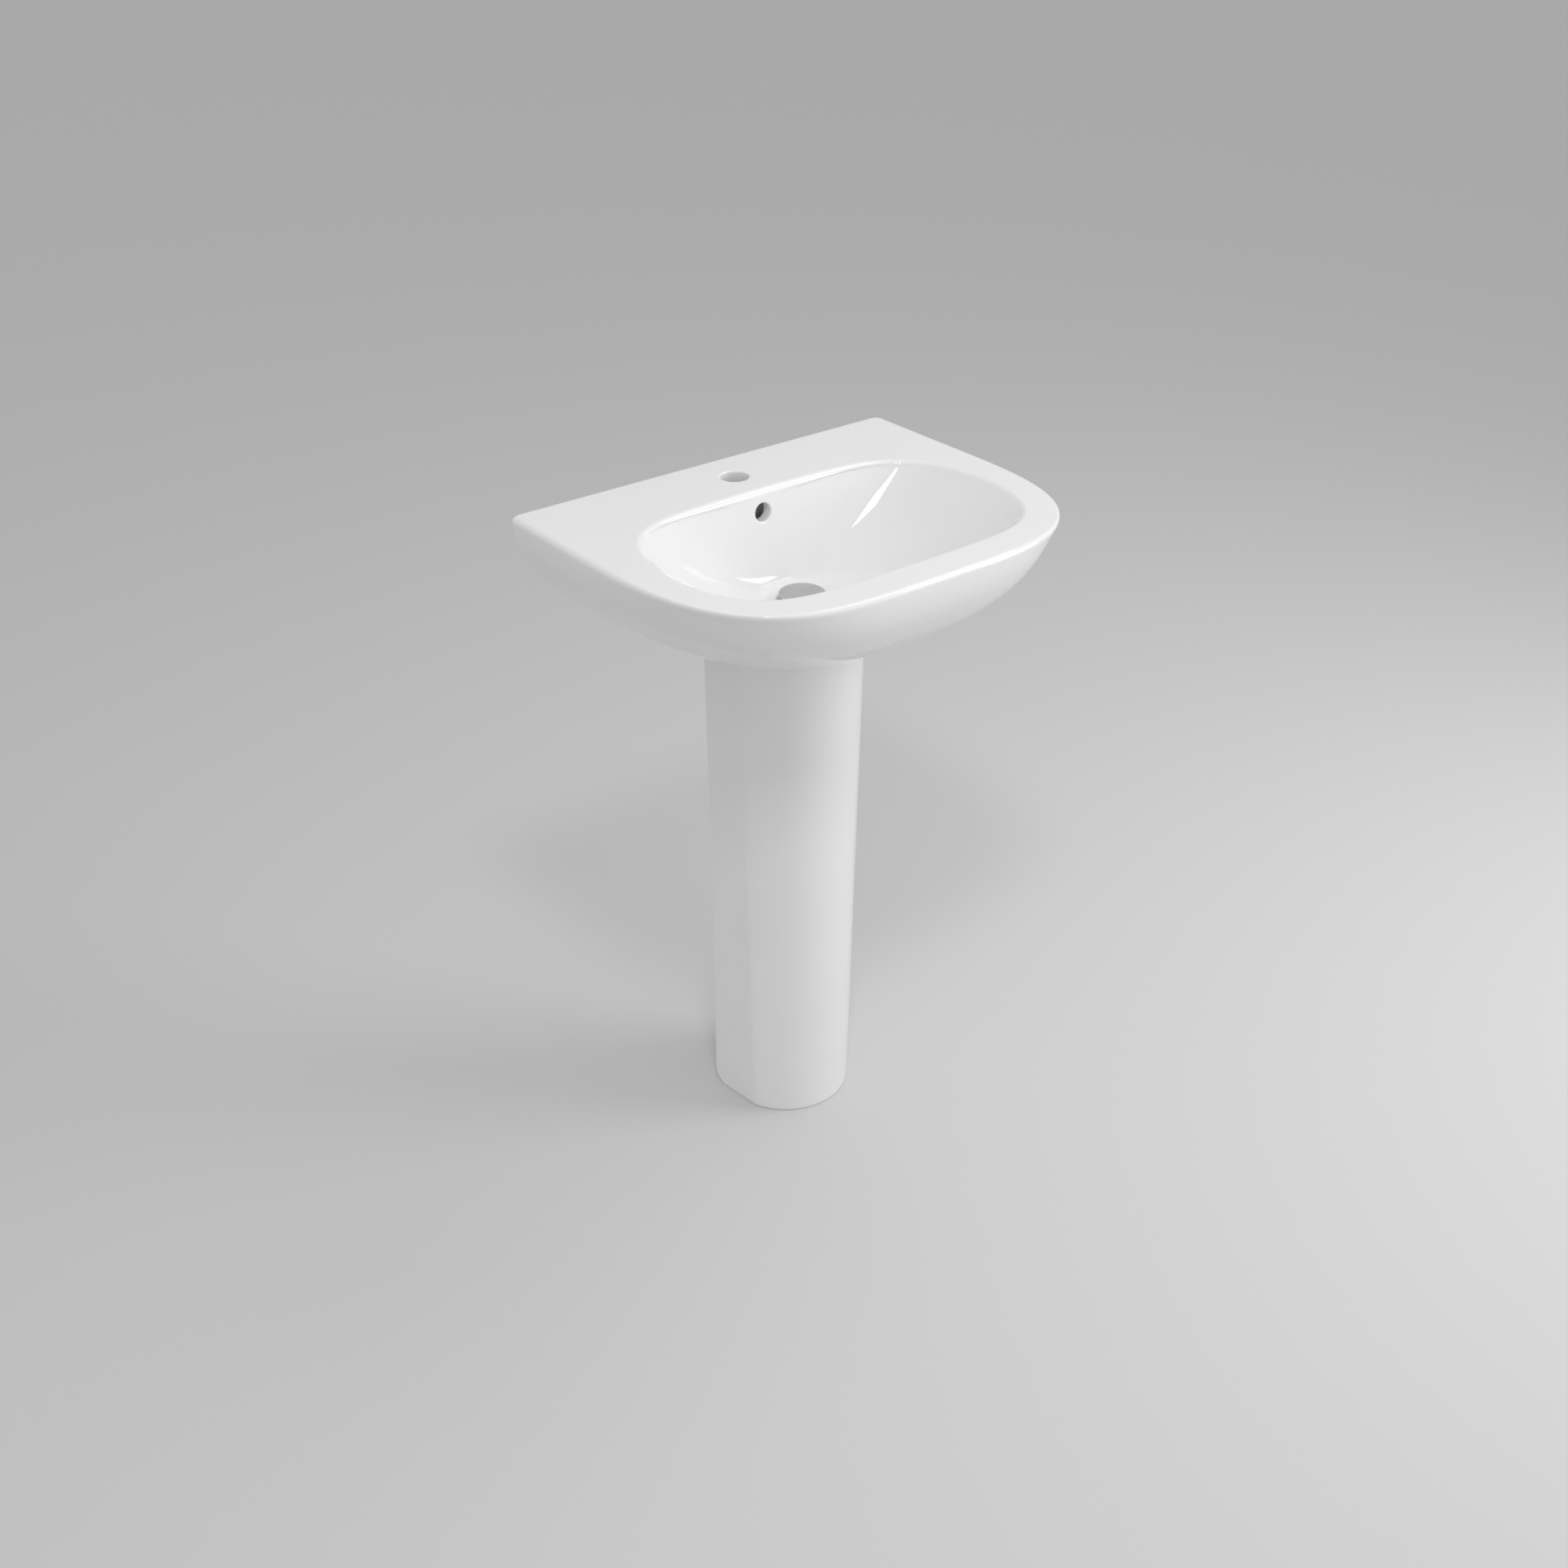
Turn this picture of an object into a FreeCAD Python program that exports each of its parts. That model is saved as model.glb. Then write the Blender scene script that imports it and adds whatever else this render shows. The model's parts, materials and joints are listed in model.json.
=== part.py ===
import FreeCAD, Part
import math
import os
import Sketcher

# A pedestal sink: a D-fronted ceramic basin on a half-round ceramic pedestal, with a
# push-to-close waste and a bottle trap in the hollow of the pedestal.
# Frame: millimetres, +Z up, z = 0 on the floor, x = 0 on the plane of symmetry,
# +Y towards the wall, the origin under the middle of the basin's plan.

os.makedirs("parts", exist_ok=True)
doc = FreeCAD.newDocument("pedestal_sink")
Vector = FreeCAD.Vector

DIMENSIONS = [
    # basin
    ("basin_width", 560.0),
    ("basin_reach", 435.0),
    ("deck_height", 850.0),
    ("deck_thickness", 15.0),
    ("skin", 9.0),
    ("wall_strip", 12.0),
    ("edge_round", 7.0),
    ("back_corner", 8.0),
    ("seat_depth", 153.0),
    ("seat_thickness", 12.0),
    ("shaft_half_width", 72.0),
    ("shaft_reach", 236.0),
    ("service_half_width", 135.0),
    ("service_reach", 96.0),
    ("arch_drop", 110.0),
    # bowl, measured from its rim
    ("bowl_half_width", 236.0),
    ("bowl_back_gap", 110.0),
    ("bowl_front_gap", 45.0),
    ("bowl_depth", 116.0),
    ("bowl_floor_radius", 35.0),
    ("rim_round", 7.0),
    # holes in the ceramic
    ("waste_from_wall", 191.0),
    ("waste_hole_radius", 23.0),
    ("waste_seat_radius", 30.5),
    ("waste_seat_sink", 6.9),
    ("boss_radius", 37.0),
    ("boss_height", 30.0),
    ("tap_from_wall", 59.0),
    ("tap_hole_radius", 17.5),
    ("overflow_depth", 28.5),
    ("overflow_radius", 11.5),
    ("channel_half_width", 12.0),
    ("channel_depth", 8.0),
    ("channel_skin", 8.0),
    ("channel_drop", 22.0),
    ("channel_floor", 4.0),
    ("wall_bolt_spacing", 280.0),
    ("wall_bolt_radius", 7.0),
    ("wall_bolt_depth", 75.0),
    # pedestal
    ("pedestal_back_gap", 109.5),
    ("pedestal_top", 694.0),
    ("pedestal_wall", 11.0),
    ("foot_half_width", 85.0),
    ("head_half_width", 90.0),
    ("foot_arris_half_width", 78.5),
    ("foot_arris_gap", 191.7),
    ("head_arris_gap", 183.0),
    ("foot_nose_gap", 244.0),
    ("head_nose_gap", 258.0),
    ("arris_round", 7.0),
    ("lip_width", 15.0),
    ("foot_corner_round", 20.0),
    ("foot_screw_radius", 4.0),
    ("foot_screw_offset", 60.0),
    ("lug_thickness", 16.0),
    ("lug_depth", 40.0),
    ("lug_inner_margin", 16.0),
    ("lug_outer_margin", 24.0),
    ("pad_radius", 4.8),
    # waste and plug
    ("flange_radius", 31.6),
    ("cap_radius", 28.5),
    ("cap_underside", 7.0),
    ("flange_rise", 2.2),
    ("flange_dish", 3.0),
    ("collar_sink", 5.4),
    ("tail_radius", 20.95),
    ("tail_bore", 17.6),
    ("tail_end", 660.0),
    ("slot_width", 14.0),
    ("slot_height", 12.0),
    ("slot_drop", 23.0),
    ("bridge_drop", 40.0),
    ("bridge_height", 6.0),
    ("lower_washer", 5.0),
    ("slip_washer", 1.5),
    ("nut_width", 50.0),
    ("nut_height", 9.5),
    ("spring_radius", 5.2),
    ("spring_wire", 0.4),
    ("spring_length", 12.0),
    ("spring_turns", 4.0),
    ("spring_drop", 30.5),
    # trap
    ("pipe_radius", 16.0),
    ("pipe_wall", 1.8),
    ("dip_end", 440.0),
    ("outlet_height", 525.0),
    ("outlet_socket_radius", 16.3),
    ("trap_radius", 36.0),
    ("cup_bottom", 408.0),
]

sheet = doc.addObject("Spreadsheet::Sheet", "Dimensions")
for row, (alias, value) in enumerate(DIMENSIONS, start=1):
    sheet.set("A%d" % row, alias)
    sheet.set("B%d" % row, str(value))
    sheet.setAlias("B%d" % row, alias)
doc.recompute()


def size(alias):
    """One driving dimension, in millimetres."""
    return float(sheet.get(alias))


WALL_Y = size("basin_reach") / 2
DECK_Z = size("deck_height")
WASTE_Y = WALL_Y - size("waste_from_wall")
FLOOR_Z = DECK_Z - size("bowl_depth")
SEAT_Z = DECK_Z - size("seat_depth")
nodes = []


# ---------------------------------------------------------------- outlines
def quarter(n, m, steps):
    """Points of |x|^n + |y|^m = 1 from (1, 0) to (0, 1), evenly spread along it."""
    side = [0.5 ** (1 / m) * k / steps for k in range(steps)]
    front = [0.5 ** (1 / n) * (steps - k) / steps for k in range(steps + 1)]
    points = [((1 - v ** m) ** (1 / n), v) for v in side]
    return points + [(u, (1 - u ** n) ** (1 / m)) for u in front]


def hull_numbers(depth):
    """Half width, reach from the wall, end of the straight side and the nose's two exponents."""
    t = depth / 175.0
    half = size("basin_width") / 2 - 176.5 * t ** 2.5
    reach = size("basin_reach") - 240.0 * t ** 2.59
    side_end = 187.0 - 157.0 * t ** 0.53
    n = 4.14 - 1.29 * t ** 0.53
    m = 2.82 - 1.02 * t ** 0.53
    return half, reach, side_end, n, m


def hull_wire(depth, z, inset, back_inset):
    """The basin's plan at a depth below the deck, pulled in by inset: a D with small back corners."""
    half, reach, side_end, n, m = hull_numbers(depth)
    half -= inset
    start = WALL_Y - side_end
    bow = reach - inset - side_end
    back = WALL_Y - back_inset
    corner = size("back_corner")
    right = [Vector(half * u, start - bow * v, z) for u, v in quarter(n, m, 9)]
    left = [Vector(-p.x, p.y, z) for p in reversed(right[:-1])]
    nose = Part.BSplineCurve()
    nose.interpolate(Points=right + left, InitialTangent=Vector(0, -1, 0), FinalTangent=Vector(0, 1, 0))
    bite = corner * (1 - math.sqrt(0.5))
    edges = [nose.toShape()]
    edges.append(Part.makeLine(Vector(-half, start, z), Vector(-half, back - corner, z)))
    edges.append(Part.Arc(Vector(-half, back - corner, z), Vector(-half + bite, back - bite, z),
                          Vector(-half + corner, back, z)).toShape())
    edges.append(Part.makeLine(Vector(-half + corner, back, z), Vector(half - corner, back, z)))
    edges.append(Part.Arc(Vector(half - corner, back, z), Vector(half - bite, back - bite, z),
                          Vector(half, back - corner, z)).toShape())
    edges.append(Part.makeLine(Vector(half, back - corner, z), Vector(half, start, z)))
    return Part.Wire(edges)


def bowl_numbers(depth):
    """Half width, back and front distance from the waste's axis, and the outline's exponent."""
    left_over = max(0.0, 1 - depth / size("bowl_depth"))
    floor = size("bowl_floor_radius")
    to_back = size("waste_from_wall") - size("bowl_back_gap")
    to_front = size("basin_reach") - size("bowl_front_gap") - size("waste_from_wall")
    edge = 0.6 * size("rim_round")
    half = floor + (size("bowl_half_width") - edge - floor) * left_over ** (1 / 1.8)
    back = floor + (to_back - edge - floor) * left_over ** (1 / 5.0)
    front = floor + (to_front - edge - floor) * left_over ** (1 / 2.0)
    return half, back, front, 2 + 3.5 * left_over ** 0.8


def bowl_wire(depth, z, outset):
    """The bowl's plan at a depth, as one closed smooth curve, pushed out by outset."""
    half, back, front, n = bowl_numbers(depth)
    half += outset
    middle = WASTE_Y + (back - front) / 2
    bow = (back + front) / 2 + outset
    arc = [(half * u, bow * v) for u, v in quarter(n, 2.0, 9)]
    points = [Vector(x, middle + y, z) for x, y in arc]
    points += [Vector(-x, middle + y, z) for x, y in reversed(arc[:-1])]
    points += [Vector(-x, middle - y, z) for x, y in arc[1:]]
    points += [Vector(x, middle - y, z) for x, y in reversed(arc[1:-1])]
    curve = Part.BSplineCurve()
    curve.interpolate(Points=points, PeriodicFlag=True)
    return Part.Wire([curve.toShape()])


def prism(x_low, x_high, y_low, y_high, z_low, z_high):
    """A box between two corners."""
    return Part.makeBox(x_high - x_low, y_high - y_low, z_high - z_low, Vector(x_low, y_low, z_low))


def rod(radius, start, direction, length):
    """A round bar from a point."""
    return Part.makeCylinder(radius, length, start, direction)


# ---------------------------------------------------------------- documents' objects
def ceramic(label, shape):
    """A free-form casting as a feature of the document."""
    feature = doc.addObject("Part::Feature", label)
    feature.Shape = shape
    feature.Placement = FreeCAD.Placement()
    feature.Label = label
    nodes.append(feature)
    return feature


def origin_plane(body, role):
    return [f for f in body.Origin.OriginFeatures if f.Role == role][0]


def outline_sketch(body, name, role, corners):
    """A closed polygon whose corners are driven by pairs of expressions in the sketch's plane."""
    sketch = body.newObject("Sketcher::SketchObject", name)
    sketch.AttachmentSupport = [(origin_plane(body, role), "")]
    sketch.MapMode = "FlatFace"
    values = [(evaluate(a), evaluate(b)) for a, b in corners]
    count = len(corners)
    for k in range(count):
        here = Vector(values[k][0], values[k][1], 0)
        there = Vector(values[(k + 1) % count][0], values[(k + 1) % count][1], 0)
        sketch.addGeometry(Part.LineSegment(here, there), False)
    for k in range(count):
        sketch.addConstraint(Sketcher.Constraint("Coincident", k, 2, (k + 1) % count, 1))
    for k, (a, b) in enumerate(corners):
        for kind, text, value in (("DistanceX", a, values[k][0]), ("DistanceY", b, values[k][1])):
            index = sketch.addConstraint(Sketcher.Constraint(kind, -1, 1, k, 1, value))
            sketch.setExpression("Constraints[%d]" % index, text)
    return sketch


def evaluate(text):
    """The value of an expression of the sheet's aliases, as the document works it out."""
    return float(sheet.evalExpression(text.replace("Dimensions.", "")))


def turned_body(label, corners, y=None, z="0"):
    """A turned piece: a profile of (radius, height) corners revolved about its own Z axis."""
    body = doc.addObject("PartDesign::Body", label)
    body.Label = label
    sketch = outline_sketch(body, label + "_profile", "XZ_Plane", corners)
    turn = body.newObject("PartDesign::Revolution", label + "_turn")
    turn.Profile = sketch
    turn.ReferenceAxis = (sketch, ["V_Axis"])
    turn.Angle = 360.0
    body.Tip = turn
    place(body, y, z)
    nodes.append(body)
    return body


def place(item, y, z):
    """Stands a piece on the waste's axis, or on another line of y, at a height."""
    item.setExpression("Placement.Base.y", y or "Dimensions.basin_reach / 2 - Dimensions.waste_from_wall")
    item.setExpression("Placement.Base.z", z)


# ---------------------------------------------------------------- basin
def basin_hull():
    """The outside of the basin, with its top edge rounded."""
    depths = [0, 12, 30, 50, 70, 90, 108, 124, 139, size("seat_depth")]
    spare = 1.0
    hull = Part.makeLoft([hull_wire(d, DECK_Z - d, 0, -spare) for d in depths], True)
    rim = [e for e in hull.Edges if e.BoundBox.ZMin > DECK_Z - 0.01]
    hull = hull.makeFillet(size("edge_round"), [e for e in rim if e.BoundBox.YMin < WALL_Y + spare - 0.01])
    half = size("basin_width") / 2 + spare
    beyond = prism(-half, half, WALL_Y, WALL_Y + 2 * spare, SEAT_Z - spare, DECK_Z + spare)
    return hull.cut(beyond)


def bowl_solid(skin, top):
    """The bowl's hollow with skin = 0, or that hollow with its ceramic skin round it, from a depth down."""
    depths = [0, 6, 16, 30, 46, 62, 78, 92, 103, 110, 114, size("bowl_depth")]
    levels = [(d, d + skin) for d in depths if d + skin >= top]
    wires = [bowl_wire(d, DECK_Z - z, skin) for d, z in levels]
    return Part.makeLoft(wires, True)


def make_basin():
    hull = basin_hull()
    skin = size("skin")
    deck = size("deck_thickness")
    strip = size("wall_strip")
    last = size("seat_depth") - size("seat_thickness")
    depths = [deck + (last - deck) * k / 8 for k in range(9)]
    hollow = Part.makeLoft([hull_wire(d + skin, DECK_Z - d, skin, strip) for d in depths], True)
    bowl = bowl_solid(0, 0)
    lined_bowl = bowl_solid(skin, 0)
    boss = rod(size("boss_radius"), Vector(0, WASTE_Y, FLOOR_Z - size("boss_height")), Vector(0, 0, 1),
               size("boss_height"))
    # the overflow's channel runs down behind the bowl, then forward to the waste
    bowl_back = WALL_Y - size("bowl_back_gap")
    channel_half = size("channel_half_width")
    channel_front = bowl_back + size("channel_skin")
    channel_back = channel_front + size("channel_depth")
    channel_low = FLOOR_Z - size("channel_drop")
    lining_half = channel_half + size("channel_skin")
    lining_back = channel_back + size("channel_skin")
    lining_low = channel_low - size("channel_floor")
    channel = prism(-lining_half, lining_half, bowl_back - 30, lining_back, lining_low, DECK_Z - deck + 1)
    foot = prism(-lining_half, lining_half, WASTE_Y, lining_back, lining_low, FLOOR_Z)
    lining = lined_bowl.multiFuse([boss, channel, foot])
    basin = hull.cut(hollow.cut(lining))
    # way in to the hollow from below and behind
    seat_low = SEAT_Z - 1
    seat_high = DECK_Z - last + 1
    opening = size("shaft_half_width")
    wide = size("service_half_width")
    arch_z = DECK_Z - size("arch_drop")
    inner_y = WALL_Y - strip - 1
    shaft = prism(-opening, opening, WALL_Y - size("shaft_reach"), inner_y, seat_low, seat_high)
    service = prism(-wide, wide, WALL_Y - size("service_reach"), inner_y, seat_low, seat_high)
    arch = prism(-opening, opening, inner_y - 1, WALL_Y + 1, seat_low, arch_z)
    arch = arch.fuse(rod(opening, Vector(0, inner_y - 1, arch_z), Vector(0, 1, 0), strip + 3))
    keep_boss = boss.fuse(foot)
    basin = basin.cut(shaft.multiFuse([service, arch]).cut(keep_boss))
    basin = basin.cut(bowl)
    rim = [e for e in basin.Edges
           if e.BoundBox.ZMin > DECK_Z - 0.01 and e.BoundBox.YMax < WALL_Y - 80 and e.BoundBox.YMin > -WALL_Y + 20]
    basin = basin.makeFillet(size("rim_round"), rim)
    # holes
    up = Vector(0, 0, 1)
    back = Vector(0, 1, 0)
    overflow_z = DECK_Z - size("overflow_depth")
    cuts = [rod(size("tap_hole_radius"), Vector(0, WALL_Y - size("tap_from_wall"), DECK_Z - 20), up, 40)]
    cuts.append(rod(size("waste_hole_radius"), Vector(0, WASTE_Y, SEAT_Z), up, 60))
    cuts.append(rod(size("waste_seat_radius"), Vector(0, WASTE_Y, FLOOR_Z - size("waste_seat_sink")), up, 20))
    cuts.append(rod(size("overflow_radius"), Vector(0, bowl_back - 20, overflow_z), back, 33))
    cuts.append(prism(-channel_half, channel_half, channel_front, channel_back, channel_low, overflow_z + 10))
    cuts.append(prism(-channel_half, channel_half, WASTE_Y, channel_back, channel_low, channel_low + 11))
    for side in (-1, 1):
        x = side * size("wall_bolt_spacing") / 2
        start = Vector(x, WALL_Y - strip - 5, DECK_Z - size("wall_bolt_depth"))
        cuts.append(rod(size("wall_bolt_radius"), start, back, strip + 10))
    for tool in cuts:
        basin = basin.cut(tool)
    return basin


# ---------------------------------------------------------------- pedestal
def pedestal_numbers(z):
    """Half width at the back, the arris's half width and y, the nose's y, at a height."""
    t = z / size("pedestal_top")
    foot = size("foot_half_width")
    half = foot + (size("head_half_width") - foot) * t ** 2.6
    arris_half = size("foot_arris_half_width") + (size("head_half_width") - size("foot_arris_half_width")) * t
    arris_y = WALL_Y - size("foot_arris_gap") + (size("foot_arris_gap") - size("head_arris_gap")) * t
    nose_y = WALL_Y - size("foot_nose_gap") + (size("foot_nose_gap") - size("head_nose_gap")) * t ** 0.85
    return half, arris_half, arris_y, nose_y


def pedestal_wire(z, inset, back_y):
    """The pedestal's plan: flat sides, an arris each side and a round nose, pulled in by inset."""
    half, arris_half, arris_y, nose_y = pedestal_numbers(z)
    rise = arris_y - nose_y
    radius = (rise ** 2 + arris_half ** 2) / (2 * rise)
    middle = nose_y + radius
    shrink = (radius - inset) / radius
    arris = Vector(arris_half * shrink, middle + (arris_y - middle) * shrink, z)
    mirror = Vector(-arris.x, arris.y, z)
    back = Vector(half - inset, back_y, z)
    back_mirror = Vector(inset - half, back_y, z)
    edges = [Part.makeLine(back, arris)]
    edges.append(Part.Arc(arris, Vector(0, nose_y + inset, z), mirror).toShape())
    edges.append(Part.makeLine(mirror, back_mirror))
    edges.append(Part.makeLine(back_mirror, back))
    return Part.Wire(edges)


def make_pedestal():
    top = size("pedestal_top")
    wall = size("pedestal_wall")
    back_y = WALL_Y - size("pedestal_back_gap")
    heights = [top * k / 6 for k in range(7)]
    outside = Part.makeLoft([pedestal_wire(z, 0, back_y) for z in heights], True)
    arris = [e for e in outside.Edges if e.BoundBox.ZLength > top - 1 and e.BoundBox.YMax < back_y - 40]
    outside = outside.makeFillet(size("arris_round"), arris)
    inside = Part.makeLoft([pedestal_wire(z, wall, back_y - wall) for z in heights], True)
    gap = size("foot_half_width") - wall - size("lip_width")
    doorway = prism(-gap, gap, back_y - wall - 1, back_y + 1, -1, top + 1)
    shell = outside.cut(inside).cut(doorway)
    # lugs inside the foot for the floor screws
    lug_x = size("foot_screw_offset")
    lug = size("lug_thickness")
    lug_depth = size("lug_depth")
    lug_back = back_y - wall
    for side in (-1, 1):
        near = side * (lug_x - size("lug_inner_margin"))
        far = side * (lug_x + size("lug_outer_margin"))
        block = prism(min(near, far), max(near, far), lug_back - lug_depth, lug_back + 2, 0, lug)
        shell = shell.fuse(block.common(outside))
        shell = shell.cut(rod(size("foot_screw_radius"), Vector(side * lug_x, lug_back - lug_depth / 2, -1),
                              Vector(0, 0, 1), lug + 2))
    # the lower back corner of each side is rounded
    bend = size("foot_corner_round")
    reach = size("head_half_width") + bend
    corner = prism(-reach, reach, back_y - bend, back_y + 1, -1, bend)
    corner = corner.cut(rod(bend, Vector(-reach - 1, back_y - bend, bend), Vector(1, 0, 0), 2 * reach + 2))
    return shell.cut(corner)


# ---------------------------------------------------------------- waste
def driven(kind, name, **texts):
    """A Part primitive whose sizes and place are expressions; the place is given as x, y and z."""
    item = doc.addObject("Part::" + kind, name)
    for key, text in texts.items():
        target = "Placement.Base." + key if key in ("x", "y", "z") else key
        item.setExpression(target, text)
    return item


def joined(kind, label, items):
    """A boolean or compound of objects, as a node of its own."""
    node = doc.addObject("Part::" + kind, label)
    if kind == "Cut":
        node.Base, node.Tool = items
    elif kind == "Compound":
        node.Links = items
    else:
        node.Shapes = items
    node.Label = label
    return node


D = "Dimensions."
AXIS_Y = D + "basin_reach / 2 - " + D + "waste_from_wall"
FLOOR = D + "deck_height - " + D + "bowl_depth"
TAIL = D + "tail_end"
TAIL_DROP = "(%s - (%s))" % (TAIL, FLOOR)


def make_pads():
    seat = D + "pedestal_top"
    depth = D + "deck_height - " + D + "seat_depth - " + seat
    inset = D + "head_half_width - " + D + "pedestal_wall / 2"
    back = D + "basin_reach / 2 - " + D + "pedestal_back_gap"
    spots = [(inset, back + " - 15"), (inset, back + " - 60"), ("43.2", back + " - 131.4")]
    pads = []
    for k, (x, y) in enumerate(spots):
        for sign, side in (("", "right"), ("-1 * ", "left")):
            pads.append(driven("Cylinder", "pad_%s_%d" % (side, k + 1), Radius=D + "pad_radius", Height=depth,
                               x=sign + "(" + x + ")", y=y, z=seat))
    nodes.append(joined("Compound", "pedestal_pads", pads))


def make_waste():
    """The flanged tail with its two overflow slots and the bridge that carries the cartridge."""
    rim = D + "flange_radius"
    outer = D + "tail_radius"
    bore = D + "tail_bore"
    well = D + "cap_radius + 0.5"
    cup = D + "waste_seat_radius - 0.3"
    collar = "-1 * " + D + "collar_sink"
    rise = D + "flange_rise"
    dish = "-1 * " + D + "flange_dish"
    turned = turned_body("waste_turning", [
        (bore, TAIL_DROP), (outer, TAIL_DROP), (outer, collar), (cup, collar), (cup, "0.2"), (rim, "0.2"),
        (rim, rise + " - 0.6"), (rim + " - 0.6", rise), (well + " + 0.6", rise), (well, rise + " - 0.6"),
        (well, dish), (bore, dish)], z=FLOOR)
    nodes.remove(turned)
    slot = driven("Box", "overflow_slots", Length=D + "slot_width", Width="2 * (" + outer + " + 2)",
                  Height=D + "slot_height", x="-0.5 * " + D + "slot_width",
                  y=AXIS_Y + " - " + outer + " - 2", z=FLOOR + " - " + D + "slot_drop")
    slotted = joined("Cut", "waste_slotted", (turned, slot))
    height = D + "bridge_height"
    bridge = FLOOR + " - " + D + "bridge_drop"
    hub = turned_body("waste_hub", [("4.9", "0"), ("9", "0"), ("9", height), ("4.9", height)], z=bridge)
    nodes.remove(hub)
    pieces = [slotted, hub]
    for k in range(3):
        arm = driven("Box", "bridge_arm_%d" % (k + 1), Length=bore + " - 5.8", Width="4", Height=height + " - 1",
                     x="6 * cos(%d deg) + 2 * sin(%d deg)" % (120 * k, 120 * k),
                     y=AXIS_Y + " + 6 * sin(%d deg) - 2 * cos(%d deg)" % (120 * k, 120 * k), z=bridge + " + 0.5")
        arm.setExpression("Placement.Rotation.Angle", "%d deg" % (120 * k))
        pieces.append(arm)
    nodes.append(joined("MultiFuse", "waste_flange", pieces))


def make_waste_fixings():
    outer = D + "tail_radius"
    loose = outer + " + 0.25"
    edge = D + "waste_seat_radius - 0.9"
    seat = "-1 * " + D + "waste_seat_sink"
    collar = "-1 * " + D + "collar_sink"
    turned_body("waste_upper_washer", [(loose, seat), (edge, seat), (edge, collar), (loose, collar)], z=FLOOR)
    boss = FLOOR + " - " + D + "boss_height"
    under = "-1 * " + D + "lower_washer"
    turned_body("waste_lower_washer", [(loose, under), ("27", under), ("31", "-3.4"), ("31", "0"), (loose, "0")],
                z=boss)
    slip = under + " - " + D + "slip_washer"
    turned_body("waste_slip_washer", [(loose, slip), ("30", slip), ("30", under), (loose, under)], z=boss)
    nut_z = boss + " - " + D + "lower_washer - " + D + "slip_washer - " + D + "nut_height"
    blank = driven("Prism", "backnut_blank", Circumradius=D + "nut_width / 2 / cos(30 deg)",
                   Height=D + "nut_height", y=AXIS_Y, z=nut_z)
    blank.Polygon = 6
    hole = driven("Cylinder", "backnut_bore", Radius=outer + " + 0.1", Height=D + "nut_height + 2", y=AXIS_Y,
                  z=nut_z + " - 1")
    nodes.append(joined("Cut", "waste_backnut", (blank, hole)))


def make_plug():
    """The push-to-close plug: cap, seal, plunger, cartridge, latch ring and spring."""
    cap = D + "cap_radius"
    base = D + "cap_underside"
    turned_body("plug_cap", [
        ("0", base), ("4.1", base), ("4.1", base + " - 4"), ("7", base + " - 4"), ("7", base),
        (cap + " - 0.6", base), (cap, base + " + 0.6"), (cap, base + " + 2.6"), (cap + " - 0.6", base + " + 3.2"),
        ("0", base + " + 3.6")], z=FLOOR)
    turned_body("plug_seal", [("20", base + " - 1.8"), ("25.4", base + " - 1.8"), ("26", base), ("20", base)],
                z=FLOOR)
    turned_body("plug_cartridge", [
        ("0", "-42"), ("4.8", "-42"), ("4.8", "-34"), ("8.5", "-34"), ("8.5", "-7"), ("4.4", "-7"), ("4.4", "-9"),
        ("6.5", "-9"), ("6.5", "-31"), ("0", "-31")], z=FLOOR)
    turned_body("plug_plunger", [
        ("0", "-18"), ("6.3", "-18"), ("6.3", "-16"), ("4", "-16"), ("4", base), ("0", base)], z=FLOOR)
    ring = turned_body("latch_turning", [("4.2", "-15"), ("6.3", "-15"), ("6.3", "-11"), ("4.2", "-11")], z=FLOOR)
    nodes.remove(ring)
    teeth = [ring]
    for k in range(3):
        turn = 120 * k + 60
        tooth = driven("Box", "latch_tooth_%d" % (k + 1), Length="1.5", Width="2.4", Height="1.8",
                       x="4.5 * cos(%d deg) + 1.2 * sin(%d deg)" % (turn, turn),
                       y=AXIS_Y + " + 4.5 * sin(%d deg) - 1.2 * cos(%d deg)" % (turn, turn), z=FLOOR + " - 11.3")
        tooth.setExpression("Placement.Rotation.Angle", "%d deg" % turn)
        teeth.append(tooth)
    nodes.append(joined("MultiFuse", "plug_latch_ring", teeth))
    start = FLOOR + " - " + D + "spring_drop"
    helix = driven("Helix", "spring_line", Pitch=D + "spring_length / " + D + "spring_turns",
                   Height=D + "spring_length", Radius=D + "spring_radius", y=AXIS_Y, z=start)
    wire = driven("Circle", "spring_section", Radius=D + "spring_wire", x=D + "spring_radius", y=AXIS_Y, z=start)
    wire.Placement.Rotation = FreeCAD.Rotation(Vector(1, 0, 0), 90)
    spring = doc.addObject("Part::Sweep", "plug_spring")
    spring.Sections = [wire]
    spring.Spine = (helix, [])
    spring.Solid = True
    spring.Frenet = True
    nodes.append(spring)


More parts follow.
